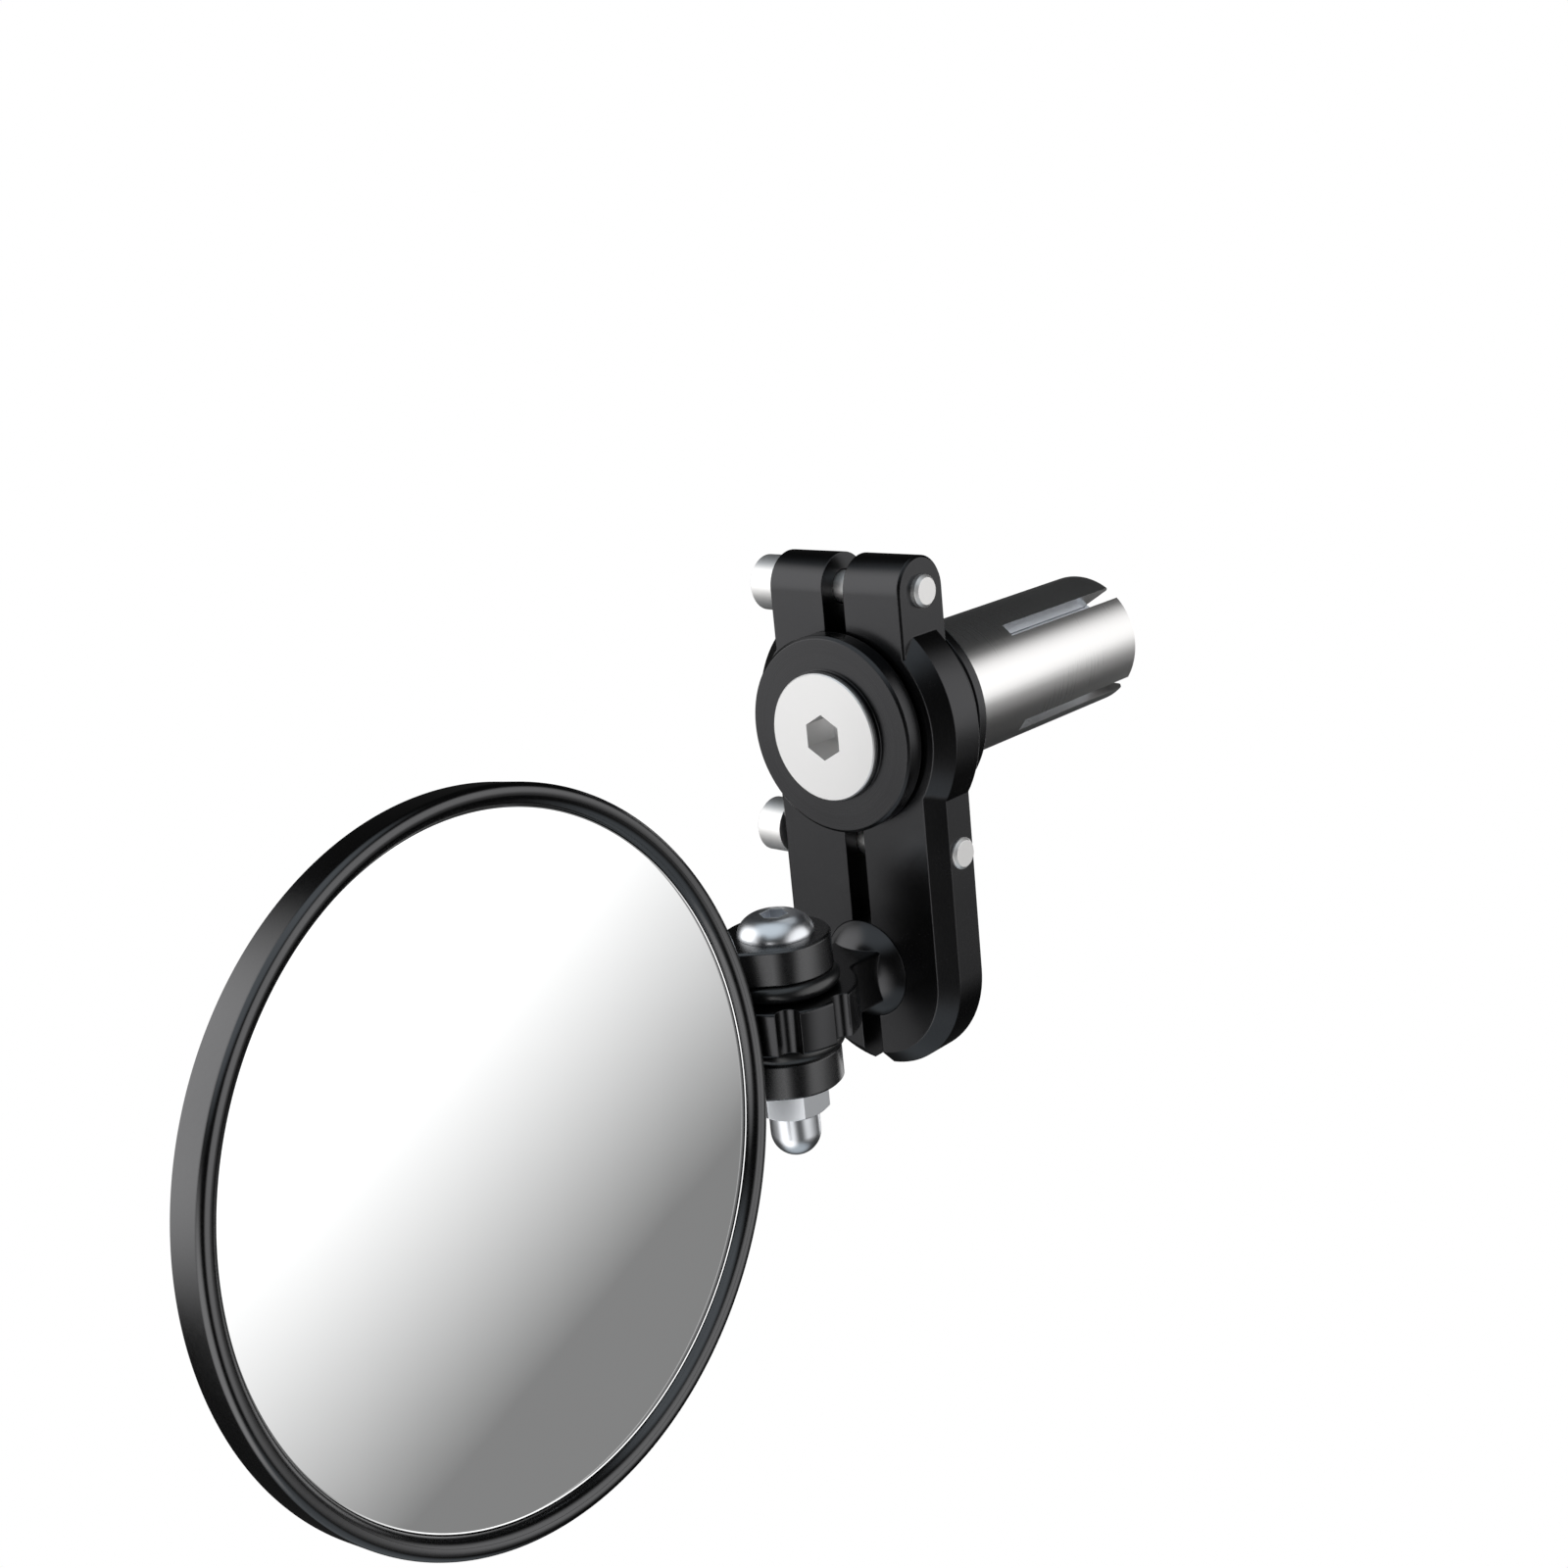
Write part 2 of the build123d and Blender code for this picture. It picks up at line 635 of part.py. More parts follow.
def ear(base):
    """One ear of the bracket. In plan, local x runs from the hinge to the mirror and y the way it faces."""
    angle = math.radians(EAR_FLAT_ANGLE)
    cup_back = AXIS_BEHIND_GLASS + HOUSING_BACK
    flat_start = (EAR_R * math.cos(angle), EAR_R * math.sin(angle))
    flat_end = ((EAR_R - cup_back * math.sin(angle)) / math.cos(angle), cup_back)
    with BuildPart() as body:
        with BuildSketch(Plane(origin=HINGE + Vector(0, 0, base), x_dir=-inboard, z_dir=(0, 0, 1))):
            with BuildLine():
                ThreePointArc(flat_start, (-EAR_R, 0), (0, -EAR_R))
                Spline((0, -EAR_R), (EAR_SHOULDER, EAR_BACK), tangents=((1, 0), (1, 0)))
                Polyline(
                    (EAR_SHOULDER, EAR_BACK),
                    (EAR_ROOT, EAR_BACK),
                    (EAR_ROOT, cup_back),
                    flat_end,
                    flat_start,
                )
            make_face()
        extrude(amount=EAR_HEIGHT)
        chamfer(body.faces().filter_by(Axis.Z).edges(), EAR_EDGE)
    return body.part


upper_ear = ear(EAR_BASE)
lower_ear = ear(-EAR_TOP)


def screw_turned(spot, points):
    """A solid turned around a bracket screw's axis, from points given as (out from it, into the plate)."""
    profile = Plane(origin=spot, x_dir=inboard, z_dir=inboard.cross(face_normal))
    return turned(profile, Axis(spot, face_normal), points)


sink_r = M3_HEAD_R + 0.05
sink_points = [(0, -1), (sink_r, -1), (sink_r, 0), (M3_R + 0.05, M3_HEAD_HEIGHT), (0, M3_HEAD_HEIGHT)]
screw_sinks = [screw_turned(spot, sink_points) for spot in screw_spots]
screw_end = PLATE_THICKNESS + BACK_WALL - 0.1
screw_points = [(0, 0), (M3_HEAD_R, 0), (M3_R, M3_HEAD_HEIGHT), (M3_R, screw_end), (0, screw_end)]
screw_blanks = [screw_turned(spot, screw_points) for spot in screw_spots]

with BuildPart() as mirror_bracket:
    # A plate on the housing's back and two ears around the hinge.
    add(upper_ear)
    add(lower_ear)
    with BuildSketch(plate_plane):
        with Locations((PLATE_MIDDLE, -HEAD_RISE)):
            RectangleRounded(PLATE_LENGTH, 2 * PLATE_HALF_HEIGHT, PLATE_CORNER_R)
    extrude(amount=-PLATE_THICKNESS)
    # The cup stands in front of the plate, so the ears are cut back to clear it.
    with BuildSketch(plate_plane):
        Circle(HOUSING_R + 0.4)
    extrude(amount=12, mode=Mode.SUBTRACT)
    with BuildSketch(Plane(origin=HINGE - Vector(0, 0, EAR_TOP + 1))):
        Circle(M5_R + RUNNING_FIT)
    extrude(amount=2 * EAR_TOP + 2, mode=Mode.SUBTRACT)
    with BuildSketch(screw_plane):
        with Locations(*screw_offsets):
            Circle(M3_R + 0.1)
    extrude(amount=PLATE_THICKNESS, mode=Mode.SUBTRACT)
    add(screw_sinks, mode=Mode.SUBTRACT)

mirror_bracket.part.label = "mirror_bracket"

with BuildPart() as bracket_screws:
    add(screw_blanks)
    for spot in screw_spots:
        with BuildSketch(Plane(origin=spot, x_dir=inboard, z_dir=-face_normal)):
            RegularPolygon(M3_SOCKET / 2, 6, major_radius=False)
        extrude(amount=-M3_SOCKET_DEPTH, mode=Mode.SUBTRACT)

bracket_screws.part.label = "bracket_screws"


# ======== mirror head ========

def bead_height(radius):
    """Height over the glass of the bead's inner round, at a distance from the head's axis."""
    rise = math.sqrt(BEAD_INNER_ROUND**2 - (BEAD_CREST_R - radius) ** 2)
    return LIP_HEIGHT - BEAD_INNER_ROUND + rise


with BuildPart() as mirror_housing:
    # A shallow cup whose wall ends in the outer part of a rounded bead.
    wall_top = (WALL_INNER, bead_height(WALL_INNER))
    crest = (BEAD_CREST_R, LIP_HEIGHT)
    with BuildSketch(head_profile):
        with BuildLine():
            Polyline((0, HOUSING_BACK), (0, CUP_FLOOR), (WALL_INNER, CUP_FLOOR), wall_top)
            RadiusArc(wall_top, crest, BEAD_INNER_ROUND)
            RadiusArc(crest, (HOUSING_R, LIP_HEIGHT - BEAD_OUTER_ROUND), BEAD_OUTER_ROUND)
            Polyline(
                (HOUSING_R, LIP_HEIGHT - BEAD_OUTER_ROUND),
                (HOUSING_R, HOUSING_BACK + 0.5),
                (HOUSING_R - 0.5, HOUSING_BACK),
                (0, HOUSING_BACK),
            )
        make_face()
    revolve(axis=head_axis)
    with BuildSketch(plate_plane):
        with Locations(*screw_offsets):
            Circle(M3_R)
    extrude(amount=BACK_WALL, mode=Mode.SUBTRACT)

mirror_housing.part.label = "mirror_housing"

with BuildPart() as glass_pad:
    with BuildSketch(head_plane.offset(CUP_FLOOR)):
        Circle(GLASS_R - PAD_MARGIN)
    extrude(amount=PAD_THICKNESS)

glass_pad.part.label = "glass_pad"

with BuildPart() as mirror_glass:
    # A thin disc with a slightly domed front, bevelled around its edge.
    crown_r = (GLASS_R**2 + GLASS_CROWN**2) / (2 * GLASS_CROWN)
    with BuildSketch(head_plane.offset(GLASS_BACK)):
        Circle(GLASS_R)
    extrude(amount=GLASS_CROWN - GLASS_BACK + 0.2)
    with Locations(glass_centre + face_normal * (GLASS_CROWN - crown_r)):
        Sphere(crown_r, mode=Mode.INTERSECT)
    front_edge = mirror_glass.edges().filter_by(GeomType.CIRCLE).sort_by(head_axis)[-1]
    chamfer(front_edge, GLASS_BEVEL)

mirror_glass.part.label = "mirror_glass"

with BuildPart() as lens_ring:
    # Rubber ring between the glass's edge and the cup's wall, its top the inner part of the bead.
    ring_inner_r = BEAD_CREST_R - BEAD_INNER_ROUND
    ring_outer_r = WALL_INNER - 0.02
    ring_foot = (ring_inner_r, bead_height(ring_inner_r))
    ring_top = (ring_outer_r, bead_height(ring_outer_r))
    with BuildSketch(head_profile):
        with BuildLine():
            Polyline(ring_foot, (ring_inner_r, CUP_FLOOR), (ring_outer_r, CUP_FLOOR), ring_top)
            RadiusArc(ring_top, ring_foot, -BEAD_INNER_ROUND)
        make_face()
    revolve(axis=head_axis)

lens_ring.part.label = "lens_ring"


PIECES = [
    expander_sleeve,
    wedge_nut,
    plug_bolt,
    inner_collar,
    seat_washer,
    outer_flange,
    clamp_left,
    clamp_right,
    upper_clamp_screw,
    lower_clamp_screw,
    knuckle,
    pivot_bushing,
    pivot_screw,
    hinge_bush,
    upper_friction_ring,
    lower_friction_ring,
    hinge_screw,
    acorn_nut,
    mirror_bracket,
    bracket_screws,
    mirror_housing,
    glass_pad,
    mirror_glass,
    lens_ring,
]

os.makedirs("parts", exist_ok=True)
for piece in PIECES:
    export_step(piece.part, f"parts/{piece.part.label}.step")
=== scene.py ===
"""Studio picture of the bar-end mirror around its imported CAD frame."""

import math

import bmesh
import bpy
from mathutils import Matrix, Vector


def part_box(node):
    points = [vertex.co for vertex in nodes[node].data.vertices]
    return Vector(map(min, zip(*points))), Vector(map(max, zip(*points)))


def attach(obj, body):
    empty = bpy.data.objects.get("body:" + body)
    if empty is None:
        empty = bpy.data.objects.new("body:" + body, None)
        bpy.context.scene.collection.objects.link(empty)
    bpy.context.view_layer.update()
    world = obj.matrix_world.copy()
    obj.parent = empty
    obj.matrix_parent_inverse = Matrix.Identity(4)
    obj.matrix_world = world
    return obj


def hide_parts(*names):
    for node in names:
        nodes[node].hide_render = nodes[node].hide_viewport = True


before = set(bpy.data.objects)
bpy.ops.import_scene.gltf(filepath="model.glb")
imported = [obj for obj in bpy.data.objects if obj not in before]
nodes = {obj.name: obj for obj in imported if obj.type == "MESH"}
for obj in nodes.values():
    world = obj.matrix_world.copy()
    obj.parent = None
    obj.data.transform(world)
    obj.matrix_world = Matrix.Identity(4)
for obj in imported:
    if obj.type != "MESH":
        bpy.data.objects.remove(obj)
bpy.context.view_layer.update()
scene = bpy.context.scene
scene.view_settings.view_transform = "Standard"


def middle(name):
    """The middle of a node's box."""
    low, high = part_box(name)
    return (Vector(low) + Vector(high)) / 2


# ======== camera ========

# A pinhole camera fitted to the lower mirror of the photograph, in metres.
CAMERA_PLACE = (0.19415526, 0.15922221, 0.06129516)
CAMERA_RIGHT = (-0.66053842, 0.74454381, -0.09666185)
CAMERA_UP = (-0.26385598, -0.10967158, 0.95830693)
CAMERA_BACK = (0.70290043, 0.65850335, 0.26889463)
SENSOR_WIDTH_MM = 36.0
LENS_MM = 46.515
NEAREST_SEEN = 0.005
FARTHEST_SEEN = 20.0

camera_data = bpy.data.cameras.new("camera")
camera_data.sensor_width = SENSOR_WIDTH_MM
camera_data.lens = LENS_MM
camera_data.clip_start = NEAREST_SEEN
camera_data.clip_end = FARTHEST_SEEN
camera = bpy.data.objects.new("camera", camera_data)
scene.collection.objects.link(camera)
turn = Matrix((CAMERA_RIGHT, CAMERA_UP, CAMERA_BACK)).transposed().to_4x4()
camera.matrix_world = Matrix.Translation(CAMERA_PLACE) @ turn
scene.camera = camera


# ======== shader helpers ========

# Blender's Mix node has a set of sockets for each kind of value. These are its colour sockets.
MIX_FIRST_COLOUR = 6
MIX_SECOND_COLOUR = 7
MIX_COLOUR_RESULT = 2


class Tree:
    """A small builder for shader nodes."""

    def __init__(self, owner):
        owner.use_nodes = True
        self.nodes = owner.node_tree.nodes
        self.links = owner.node_tree.links
        self.nodes.clear()

    def put(self, value, socket):
        """Links an output to a socket, or sets a constant on it."""
        if isinstance(value, bpy.types.NodeSocket):
            self.links.new(value, socket)
        else:
            socket.default_value = value

    def add(self, kind, inputs=None, **settings):
        """A new node with its settings and its inputs."""
        node = self.nodes.new(kind)
        for key, value in settings.items():
            setattr(node, key, value)
        for key, value in (inputs or {}).items():
            self.put(value, node.inputs[key])
        return node

    def math(self, operation, a, b=0.0, c=0.0):
        """The result of one Math node."""
        node = self.add("ShaderNodeMath", operation=operation)
        for socket, value in zip(node.inputs, (a, b, c)):
            self.put(value, socket)
        return node.outputs[0]

    def dot(self, vector, direction):
        """How far a vector points along a direction."""
        node = self.add("ShaderNodeVectorMath", {0: vector, 1: direction}, operation="DOT_PRODUCT")
        return node.outputs["Value"]

    def ramp(self, value, start, end, low=0.0, high=1.0, smooth=True):
        """Runs from low to high while value runs from start to end."""
        settings = {"Value": value, "From Min": start, "From Max": end, "To Min": low, "To Max": high}
        kind = "SMOOTHSTEP" if smooth else "LINEAR"
        return self.add("ShaderNodeMapRange", settings, interpolation_type=kind).outputs["Result"]

    def noise(self, vector, scale, detail):
        """Noise from about 0 to 1, with more fine detail where detail is larger."""
        settings = {"Vector": vector, "Scale": scale, "Detail": detail}
        return self.add("ShaderNodeTexNoise", settings).outputs["Fac"]

    def mix(self, factor, a, b):
        """A colour between a, where factor is 0, and b, where factor is 1."""
        node = self.add("ShaderNodeMix", data_type="RGBA")
        self.put(factor, node.inputs["Factor"])
        self.put((*a, 1.0), node.inputs[MIX_FIRST_COLOUR])
        self.put((*b, 1.0), node.inputs[MIX_SECOND_COLOUR])
        return node.outputs[MIX_COLOUR_RESULT]

    def lathe_vector(self, axis, centre):
        """Coordinates that change only along the axis and with the distance from it, for turned marks."""
        place = self.add("ShaderNodeTexCoord").outputs["Object"]
        moved = self.add("ShaderNodeVectorMath", {0: place, 1: centre}, operation="SUBTRACT").outputs[0]
        parts = self.add("ShaderNodeSeparateXYZ", {0: moved}).outputs
        across = [parts[i] for i in range(3) if i != axis]
        squares = self.math("ADD", self.math("MULTIPLY", across[0], across[0]),
                            self.math("MULTIPLY", across[1], across[1]))
        radius = self.math("SQRT", squares)
        return self.add("ShaderNodeCombineXYZ", {0: parts[axis], 1: radius}).outputs[0]


# Each scale is roughly the number of noise cells to a metre.
BROAD_SCALE = 90.0
BROAD_DETAIL = 3.0
FINE_DETAIL = 4.0
LATHE_SCALE = 9000.0
LATHE_DETAIL = 2.0
BEVEL_SAMPLES = 6


def shade(name, base, metallic, rough, specular=0.5, spread=0.12, rough_spread=0.08, grain=4000.0,
          bump=0.1, depth=2e-6, edge=0.0, lathe=None):
    """A surface with cloudy wear and fine grain, or rings around its axis where it was turned.

    spread and rough_spread are how far the colour and the roughness vary, grain is the scale of the
    fine grain, bump and depth are the strength and height of its relief, edge is the radius that
    sharp edges are rounded to, and lathe is the axis it was turned on.
    """
    material = bpy.data.materials.new(name)
    tree = Tree(material)
    place = tree.add("ShaderNodeTexCoord").outputs["Object"]
    broad = tree.noise(place, BROAD_SCALE, BROAD_DETAIL)
    if lathe:
        marks = tree.noise(tree.lathe_vector(*lathe), LATHE_SCALE, LATHE_DETAIL)
    else:
        marks = tree.noise(place, grain, FINE_DETAIL)
    dark = [c * (1 - spread) for c in base]
    light = [min(1.0, c * (1 + spread)) for c in base]
    # The wear is the sum of two noises, so half of it runs from about 0 to 1.
    wear = tree.math("ADD", broad, marks)
    colour = tree.mix(tree.math("MULTIPLY", wear, 0.5), dark, light)
    roughness = tree.math("MULTIPLY_ADD", wear, rough_spread, rough - rough_spread)
    bsdf = tree.add("ShaderNodeBsdfPrincipled", {"Base Color": colour, "Roughness": roughness})
    bsdf.inputs["Metallic"].default_value = metallic
    bsdf.inputs["Specular IOR Level"].default_value = specular
    relief = tree.add("ShaderNodeBump", {"Height": marks, "Strength": bump, "Distance": depth})
    if edge:
        rounded = tree.add("ShaderNodeBevel", {"Radius": edge}, samples=BEVEL_SAMPLES)
        tree.put(rounded.outputs[0], relief.inputs["Normal"])
    tree.put(relief.outputs[0], bsdf.inputs["Normal"])
    output = tree.add("ShaderNodeOutputMaterial")
    tree.put(bsdf.outputs[0], output.inputs["Surface"])
    return material


# ======== materials ========

# The axes that pieces were turned on: 0, 1 or 2 for X, Y or Z, and a point on the axis.
BAR_AXIS = (0, (0.0, 0.0, 0.0))
HINGE_AXIS = (2, middle("hinge_bush"))
UPPER_SCREW_AXIS = (1, middle("upper_clamp_screw"))
LOWER_SCREW_AXIS = (1, middle("lower_clamp_screw"))
PIVOT_AXIS = (0, middle("pivot_bushing"))

# The anodised and moulded blacks have a metallic base, because the photograph shows them as dark
# mirrors.
ANODISED = (0.058, 0.058, 0.06)
MOULDED = (0.095, 0.095, 0.097)
STEEL = (0.80, 0.82, 0.85)
# A lighter copy of the steel for the clamp screws, painted light for the brightness of their tips.
PAINTED_LIGHT_STEEL = (0.95, 0.94, 0.93)
ZINC = (0.66, 0.70, 0.76)
BOLT_STEEL = (0.82, 0.815, 0.81)
ALLOY = (0.92, 0.91, 0.90)
SILVER = (0.97, 0.975, 0.975)
BRONZE = (0.62, 0.42, 0.2)
RUBBER = (0.006, 0.006, 0.0063)
ACETAL = (0.016, 0.016, 0.017)
FOAM = (0.12, 0.12, 0.12)

METAL = 1.0
NOT_METAL = 0.0
EDGE = 0.00018
SCREW_EDGE = 0.0001
MOULDED_GRAIN = 2500.0
FOAM_GRAIN = 1500.0
FOAM_DEPTH = 2e-5

anodised = shade("anodised_black", ANODISED, METAL, rough=0.25, spread=0.14, bump=0.05, edge=EDGE)
anodised_turned = shade("anodised_black_turned", ANODISED, METAL, rough=0.27, spread=0.14, bump=0.025,
                        edge=EDGE, lathe=BAR_AXIS)
moulded = shade("moulded_black", MOULDED, METAL, rough=0.27, spread=0.12, grain=MOULDED_GRAIN,
                bump=0.04, edge=EDGE)
gloss_black = shade("gloss_black", MOULDED, METAL, rough=0.20, spread=0.1, grain=MOULDED_GRAIN,
                    bump=0.04)
rubber = shade("rubber_black", RUBBER, NOT_METAL, rough=0.30, specular=0.8, grain=MOULDED_GRAIN,
               bump=0.15)
satin_alloy = shade("satin_alloy", ALLOY, METAL, rough=0.28, spread=0.04, rough_spread=0.03,
                    bump=0.025, lathe=BAR_AXIS)
zinc = shade("zinc_plate", ZINC, METAL, rough=0.42, spread=0.06, bump=0.08, lathe=BAR_AXIS)
bright_bolt = shade("bright_bolt", BOLT_STEEL, METAL, rough=0.46, spread=0.03, bump=0.15,
                    lathe=BAR_AXIS)
bronze = shade("bronze", BRONZE, METAL, rough=0.3, spread=0.1, lathe=HINGE_AXIS)
acetal = shade("acetal_black", ACETAL, NOT_METAL, rough=0.4, specular=0.4, lathe=PIVOT_AXIS)
foam = shade("foam_pad", FOAM, NOT_METAL, rough=0.85, spread=0.3, grain=FOAM_GRAIN, bump=0.6,
             depth=FOAM_DEPTH)
silvered = shade("silvered_glass", SILVER, METAL, rough=0.02, spread=0.004, rough_spread=0.008,
                 bump=0.0)


def screw_steel(name, axis, base=STEEL, rough=0.30):
    """Plated steel with turned marks around a screw's own axis."""
    return shade("screw_steel_" + name, base, METAL, rough, spread=0.04, rough_spread=0.03,
                 bump=0.02, edge=SCREW_EDGE, lathe=axis)


# The clamp screws, whose tips show, are less polished than the other screws, and their steel is painted
# lighter: painted light for the bright light that falls on their tips.
TIP_ROUGH = 0.44

MATERIAL_OF = {
    "expander_sleeve": satin_alloy,
    "wedge_nut": zinc,
    "plug_bolt": bright_bolt,
    "inner_collar": anodised_turned,
    "seat_washer": screw_steel("seat", BAR_AXIS),
    "outer_flange": anodised_turned,
    "clamp_left": anodised,
    "clamp_right": anodised,
    "upper_clamp_screw": screw_steel("upper", UPPER_SCREW_AXIS, PAINTED_LIGHT_STEEL, TIP_ROUGH),
    "lower_clamp_screw": screw_steel("lower", LOWER_SCREW_AXIS, PAINTED_LIGHT_STEEL, TIP_ROUGH),
    "knuckle": anodised,
    "pivot_bushing": acetal,
    "pivot_screw": screw_steel("pivot", PIVOT_AXIS),
    "hinge_bush": bronze,
    "upper_friction_ring": rubber,
    "lower_friction_ring": rubber,
    "hinge_screw": screw_steel("hinge", HINGE_AXIS),
    "acorn_nut": screw_steel("acorn", HINGE_AXIS),
    "mirror_bracket": moulded,
    "bracket_screws": screw_steel("bracket", BAR_AXIS),
    "mirror_housing": gloss_black,
    "glass_pad": foam,
    "mirror_glass": silvered,
    "lens_ring": gloss_black,
}

# The CAD faces are joined where they meet, so that a round surface shades evenly over its seam,
# and stay sharp where they meet at more than CREASE_ANGLE. The highest weight lets the largest
# faces set the shading.
JOIN_DISTANCE = 1e-6
CREASE_ANGLE = math.radians(24)
HIGHEST_WEIGHT = 100

for name, material in MATERIAL_OF.items():
    node = nodes[name]
    node.data.materials.clear()
    node.data.materials.append(material)
    weld = node.modifiers.new("weld", "WELD")
    weld.merge_threshold = JOIN_DISTANCE
    crease = node.modifiers.new("crease", "EDGE_SPLIT")
    crease.split_angle = CREASE_ANGLE
    crease.use_edge_sharp = False
    even = node.modifiers.new("even", "WEIGHTED_NORMAL")
    even.weight = HIGHEST_WEIGHT


# ======== mirror head ========

# The same measures as in the CAD. Heights run the way the glass faces, from the plane of its edge,
# and radii run out from the head's middle.
HEAD_YAW = math.radians(94.2)
HEAD_TILT = math.radians(5.5)
HOUSING_R = 0.039
HOUSING_BACK = -0.0035
BACK_CORNER = 0.0005
CUP_FLOOR = -0.0019
PAD_THICKNESS = 0.0004
WALL_INNER = 0.0376
LIP_HEIGHT = 0.0015
BEAD_OUTER_ROUND = 0.0009
BEAD_INNER_ROUND = 0.0015
BEAD_CREST_R = HOUSING_R - BEAD_OUTER_ROUND
GLASS_R = 0.0365
TURN_STEPS = 360
ARC_STEPS = 10
JOIN_CORNERS = 1e-7

face_normal = Vector((math.cos(HEAD_TILT) * math.cos(HEAD_YAW),
                      math.cos(HEAD_TILT) * math.sin(HEAD_YAW),
                      math.sin(HEAD_TILT)))
inboard = Vector((-math.sin(HEAD_YAW), math.cos(HEAD_YAW), 0.0))
up_the_glass = face_normal.cross(inboard)
head_middle = middle("glass_pad") - face_normal * (CUP_FLOOR + PAD_THICKNESS / 2)


def bead_point(angle):
    """A point of the bead's outline, angle degrees from the crest, inwards when it is below zero."""
    turn_by = math.radians(angle)
    round_r = BEAD_OUTER_ROUND if angle > 0 else BEAD_INNER_ROUND
    return BEAD_CREST_R + round_r * math.sin(turn_by), LIP_HEIGHT - round_r * (1 - math.cos(turn_by))


def bead_arc(start, end):
    """Points of the bead's outline from one angle to another."""
    return [bead_point(start + (end - start) * step / ARC_STEPS) for step in range(ARC_STEPS + 1)]


def turned_piece(name, profile, material, sharp_angle=35.0):
    """A closed ring or cup turned about the head's axis from (radius, height) points."""
    corners = []
    for step in range(TURN_STEPS):
        angle = 2 * math.pi * step / TURN_STEPS
        out = inboard * math.cos(angle) + up_the_glass * math.sin(angle)
        corners += [head_middle + out * radius + face_normal * height for radius, height in profile]
    count = len(profile)
    faces = []
    for step in range(TURN_STEPS):
        near = step * count
        far = (step + 1) % TURN_STEPS * count
        for i in range(count):
            j = (i + 1) % count
            faces.append((near + i, far + i, far + j, near + j))
    mesh = bpy.data.meshes.new(name)
    mesh.from_pydata(corners, [], faces)
    shape = bmesh.new()
    shape.from_mesh(mesh)
    bmesh.ops.remove_doubles(shape, verts=shape.verts, dist=JOIN_CORNERS)
    bmesh.ops.recalc_face_normals(shape, faces=shape.faces)
    shape.to_mesh(mesh)
    shape.free()
    mesh.shade_smooth()
    mesh.set_sharp_from_angle(angle=math.radians(sharp_angle))
    mesh.materials.append(material)
    piece = bpy.data.objects.new(name, mesh)
    scene.collection.objects.link(piece)
    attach(piece, "head")
    return piece


# The cup's wall and the lens ring share the bead's outline and meet at SEAM_ANGLE, where a seam
# SEAM wide parts them. The ring starts SEAM_TURN degrees further round the bead.
SEAM_ANGLE = -math.degrees(math.asin((BEAD_CREST_R - WALL_INNER) / BEAD_INNER_ROUND))
SEAM = 0.00002
SEAM_TURN = 1.0
ring_inner_r = BEAD_CREST_R - BEAD_INNER_ROUND

cup_profile = [
    (0.0, HOUSING_BACK),
    (HOUSING_R - BACK_CORNER, HOUSING_BACK),
    (HOUSING_R, HOUSING_BACK + BACK_CORNER),
    *bead_arc(90.0, 0.0),
    *bead_arc(0.0, SEAM_ANGLE)[1:],
    (WALL_INNER, CUP_FLOOR),
    (0.0, CUP_FLOOR),
]
cup = turned_piece("turned_cup", cup_profile, gloss_black)
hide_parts("mirror_housing")

ring_profile = [
    (WALL_INNER - SEAM, CUP_FLOOR),
    *bead_arc(SEAM_ANGLE - SEAM_TURN, -90.0),
    (ring_inner_r, CUP_FLOOR),
]
ring = turned_piece("turned_ring", ring_profile, gloss_black)
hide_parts("lens_ring")

# The glass's polished edge catches a thin bright line just inside the bead. This ring fills the
# bevel of the CAD glass, and its outermost EDGE_LINE_WIDTH rises outwards.
EDGE_RING_WIDTH = 0.00037
EDGE_LINE_WIDTH = 0.00012
EDGE_RING_BOTTOM = -0.0003
EDGE_INNER_HEIGHT = 0.000004
EDGE_LINE_HEIGHT = 0.000003
EDGE_OUTER_HEIGHT = 0.000045
edge_profile = [
    (GLASS_R - EDGE_RING_WIDTH, EDGE_INNER_HEIGHT),
    (GLASS_R - EDGE_LINE_WIDTH, EDGE_LINE_HEIGHT),
    (GLASS_R, EDGE_OUTER_HEIGHT),
    (GLASS_R, EDGE_RING_BOTTOM),
    (GLASS_R - EDGE_RING_WIDTH, EDGE_RING_BOTTOM),
]
glass_edge = turned_piece("glass_edge", edge_profile, silvered, sharp_angle=5.0)


# ======== studio ========

# Each soft light: the azimuth and elevation of its middle, the angles from there where it has
# faded out and up to which it is full, all in degrees, and its strength.
PANEL_LIGHT = (118.0, 0.0, 52.0, 30.0, 1.0)
REAR_LIGHT = (-55.0, 15.0, 43.0, 12.0, 1.8)
OUTBOARD_LIGHT = (0.0, -24.0, 46.0, 14.0, 1.6)
INBOARD_LIGHT = (188.0, -14.0, 20.0, 6.0, 1.5)
TOP_LIGHT = (5.0, 72.0, 52.0, 24.0, 0.75)
BOTTOM_LIGHT = (30.0, -75.0, 45.0, 20.0, 0.5)
ROOM_LIGHT = 0.018

# The panel's brightness along a slant: it runs from FADE_DARK to FADE_BRIGHT over the first range,
# and from nothing to its full value over the second.
SLANT_WAY = (0.162, 0.5226, 0.8368)
FADE_RANGE = (-0.085, 0.12)
FADE_DARK = 0.21
FADE_BRIGHT = 1.2
PANEL_FOOT_RANGE = (-0.45, -0.22)

WHITE = (1.0, 1.0, 1.0)
COOL_WHITE = (0.84, 0.93, 1.0)
FULLY_COOL = 0.3


def heading(azimuth, elevation):
    """The unit vector at an azimuth from +X towards +Y and an elevation, in degrees."""
    around = math.radians(azimuth)
    rise = math.radians(elevation)
    return math.cos(rise) * math.cos(around), math.cos(rise) * math.sin(around), math.sin(rise)


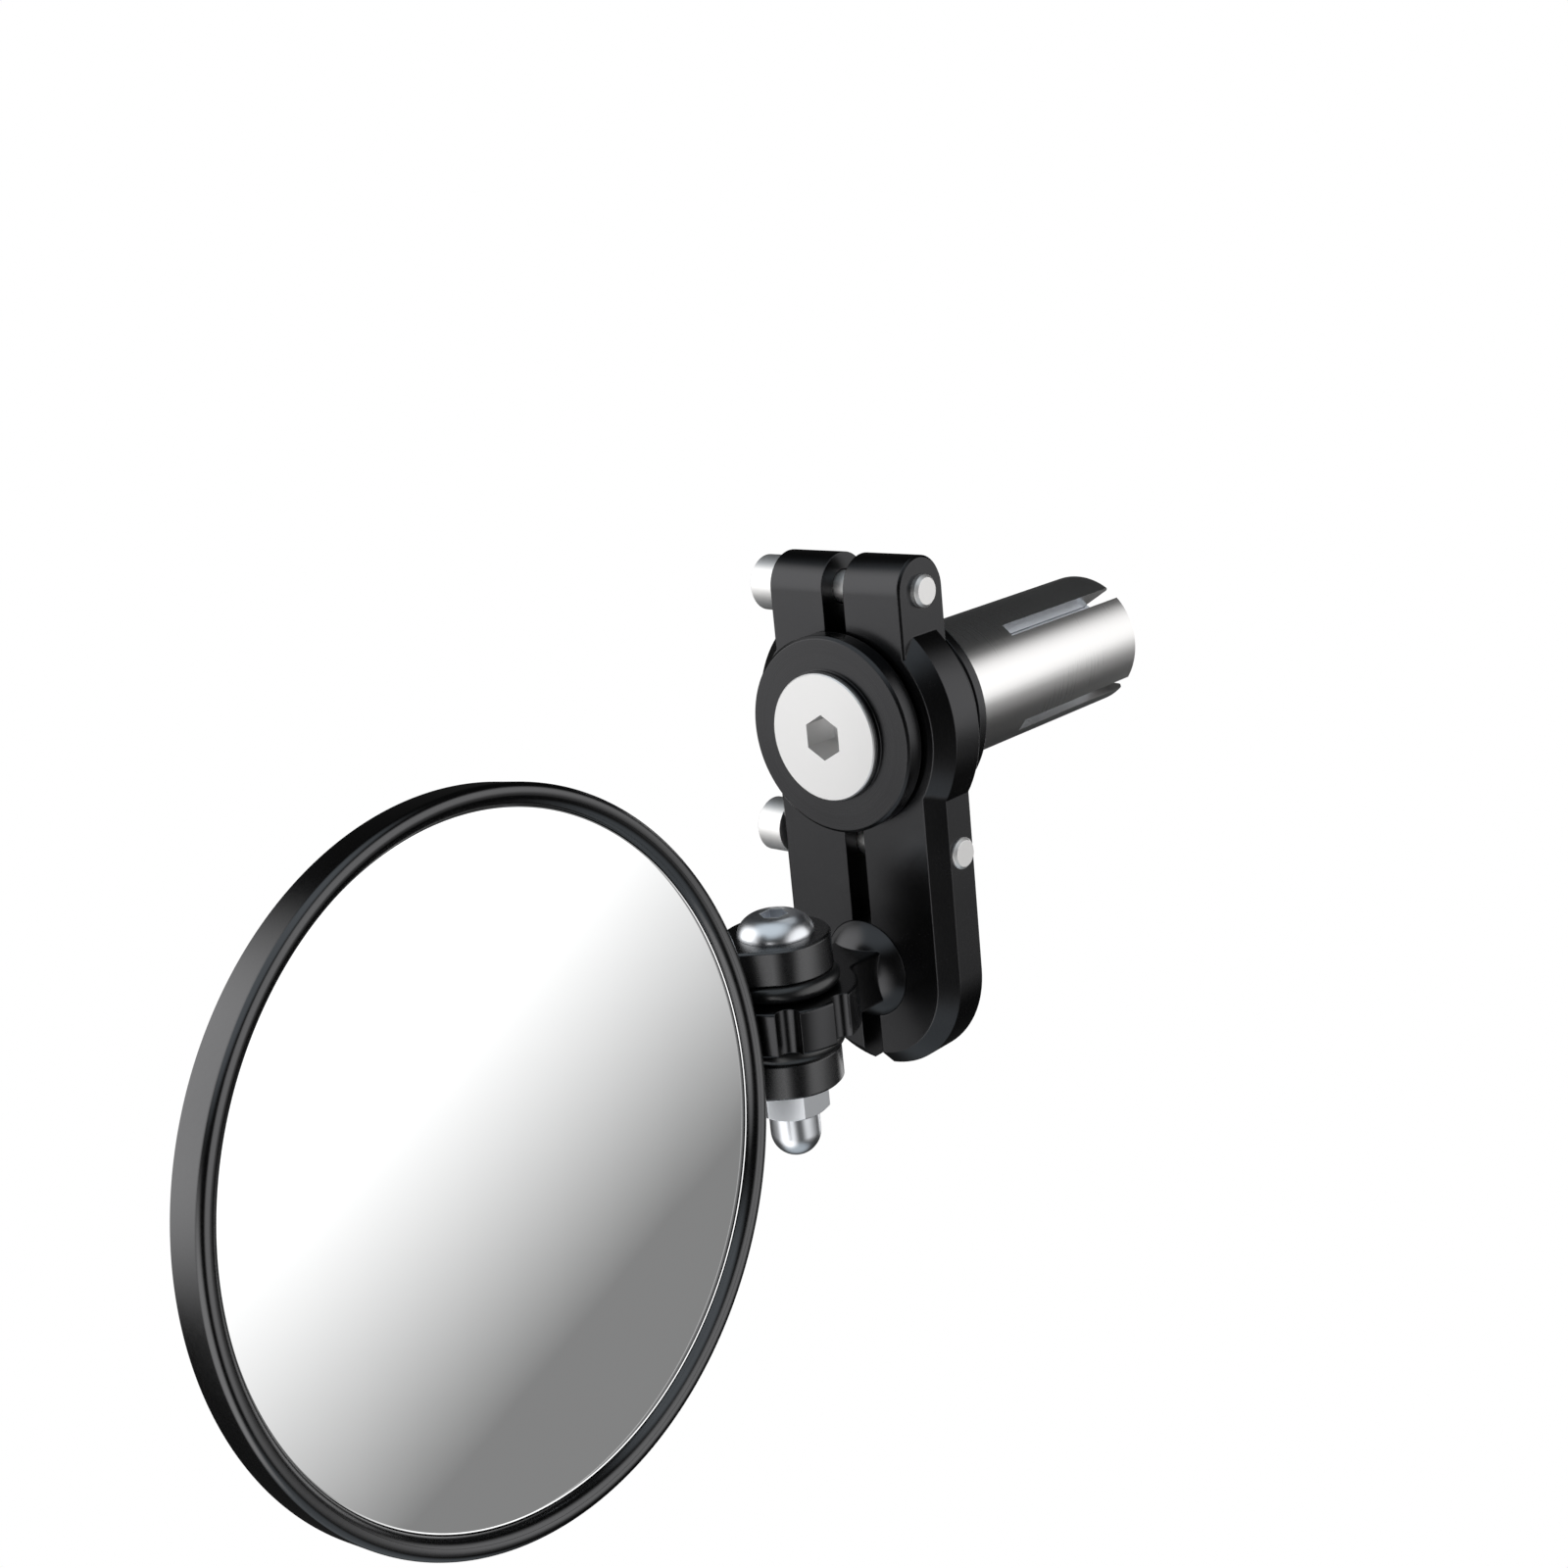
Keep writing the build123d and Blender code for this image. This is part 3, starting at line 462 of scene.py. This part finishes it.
def build_world():
    """A dark room with a big white panel at the mirror's side and five smaller lights."""
    world = bpy.data.worlds.new("studio")
    scene.world = world
    tree = Tree(world)
    way = tree.add("ShaderNodeTexCoord").outputs["Generated"]

    def lamp(azimuth, elevation, edge, core, strength):
        """A round soft light, full inside core degrees of its heading and gone at edge degrees."""
        facing = tree.dot(way, heading(azimuth, elevation))
        start = math.cos(math.radians(edge))
        end = math.cos(math.radians(core))
        return tree.ramp(facing, start, end, 0.0, strength)

    # The panel fades from white to grey to dark along a slant, which the glass shows.
    slant = tree.dot(way, SLANT_WAY)
    fade = tree.ramp(slant, *FADE_RANGE, FADE_DARK, FADE_BRIGHT, smooth=False)
    fade = tree.math("MULTIPLY", fade, tree.ramp(slant, *PANEL_FOOT_RANGE))
    panel = tree.math("MULTIPLY", fade, lamp(*PANEL_LIGHT))
    window = tree.math("MAXIMUM", lamp(*REAR_LIGHT), lamp(*OUTBOARD_LIGHT))
    white = tree.math("ADD", tree.math("MAXIMUM", panel, window), lamp(*INBOARD_LIGHT))
    cool = tree.math("ADD", lamp(*TOP_LIGHT), lamp(*BOTTOM_LIGHT))
    light = tree.math("ADD", tree.math("ADD", white, cool), ROOM_LIGHT)
    coolness = tree.ramp(tree.math("SUBTRACT", cool, white), 0.0, FULLY_COOL)
    tint = tree.mix(coolness, WHITE, COOL_WHITE)
    background = tree.add("ShaderNodeBackground", {"Color": tint, "Strength": light})
    output = tree.add("ShaderNodeOutputWorld")
    tree.put(background.outputs[0], output.inputs["Surface"])


FLOOR_Z = -0.25
FLOOR_FLAT_R = 1.2
FLOOR_RISE_R = 0.4
FLOOR_WALL_TOP = 2.0
RISE_STEPS = 12
FLOOR_SEGMENTS = 96


def build_floor():
    """A pale round floor that curves up into a wall. Only the camera sees it, so it lights nothing."""
    material = bpy.data.materials.new("pale_floor")
    tree = Tree(material)
    glow = tree.add("ShaderNodeEmission", {"Color": (*WHITE, 1.0), "Strength": 1.0})
    output = tree.add("ShaderNodeOutputMaterial")
    tree.put(glow.outputs[0], output.inputs["Surface"])
    profile = [(0.0, 0.0)]
    for step in range(RISE_STEPS + 1):
        angle = math.pi / 2 * step / RISE_STEPS
        out = FLOOR_FLAT_R + FLOOR_RISE_R * math.sin(angle)
        profile.append((out, FLOOR_RISE_R * (1 - math.cos(angle))))
    profile.append((FLOOR_FLAT_R + FLOOR_RISE_R, FLOOR_WALL_TOP))
    corners = []
    for radius, height in profile:
        for segment in range(FLOOR_SEGMENTS):
            angle = 2 * math.pi * segment / FLOOR_SEGMENTS
            corners.append((radius * math.cos(angle), radius * math.sin(angle), FLOOR_Z + height))
    faces = []
    for row in range(len(profile) - 1):
        for segment in range(FLOOR_SEGMENTS):
            a = row * FLOOR_SEGMENTS + segment
            b = row * FLOOR_SEGMENTS + (segment + 1) % FLOOR_SEGMENTS
            faces.append((a, b, b + FLOOR_SEGMENTS, a + FLOOR_SEGMENTS))
    mesh = bpy.data.meshes.new("studio_floor")
    mesh.from_pydata(corners, [], faces)
    mesh.materials.append(material)
    floor = bpy.data.objects.new("studio_floor", mesh)
    scene.collection.objects.link(floor)
    floor.visible_diffuse = False
    floor.visible_glossy = False
    floor.visible_shadow = False
    floor.visible_transmission = False


build_world()
build_floor()
